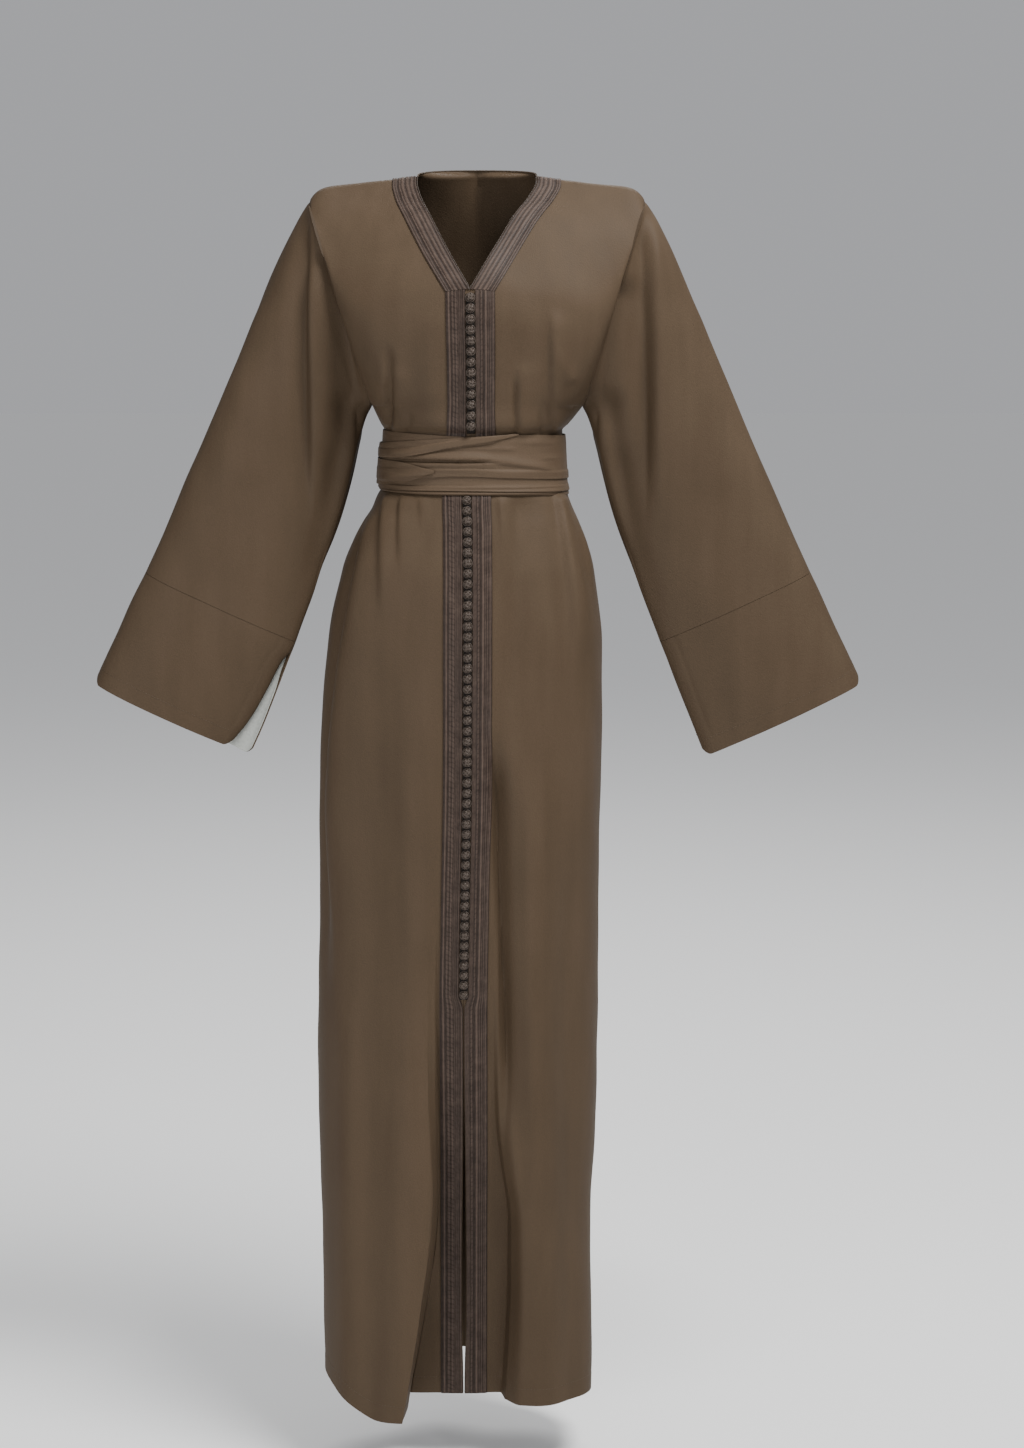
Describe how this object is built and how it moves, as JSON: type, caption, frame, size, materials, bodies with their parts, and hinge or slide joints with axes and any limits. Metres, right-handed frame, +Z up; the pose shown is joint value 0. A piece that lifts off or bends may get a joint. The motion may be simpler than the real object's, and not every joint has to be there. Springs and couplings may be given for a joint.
{
  "type": "kaftan with sash",
  "caption": "Long belted kaftan in worn form: open-front gown with braid bands, knotted buttons, wide cuffed sleeves and a wound sash, hollow inside.",
  "frame": {"origin": "midway between the neck ends of the shoulders, where the wearer's shoulders carry the garment", "axes": "+Z up, the front faces -Y, +X is the wearer's left"},
  "size_m": [0.8952, 0.2538, 1.4488],
  "materials": {
    "crepe": "smooth brown crepe with a soft sheen",
    "sash": "the same brown crepe, wound",
    "braid": "ribbed woven braid in grey brown",
    "cord": "dark knotted cord",
    "facing": "pale smooth facing"
  },
  "bodies": {
    "root": {"front_right": "crepe", "front_left": "crepe", "back": "crepe", "sleeve_right": "crepe", "sleeve_left": "crepe", "cuff_right": "crepe", "cuff_left": "crepe", "braid_neck_right": "braid", "braid_front_right": "braid", "braid_neck_left": "braid", "braid_front_left": "braid", "knots_upper": "cord", "knots_lower": "cord", "cuff_facing_right": "facing", "sash_edge": "sash", "sash_lower": "sash", "sash_main": "sash", "sash_upper": "sash", "sash_cross": "sash", "sash_tuck": "sash"}
  },
  "joints": []
}
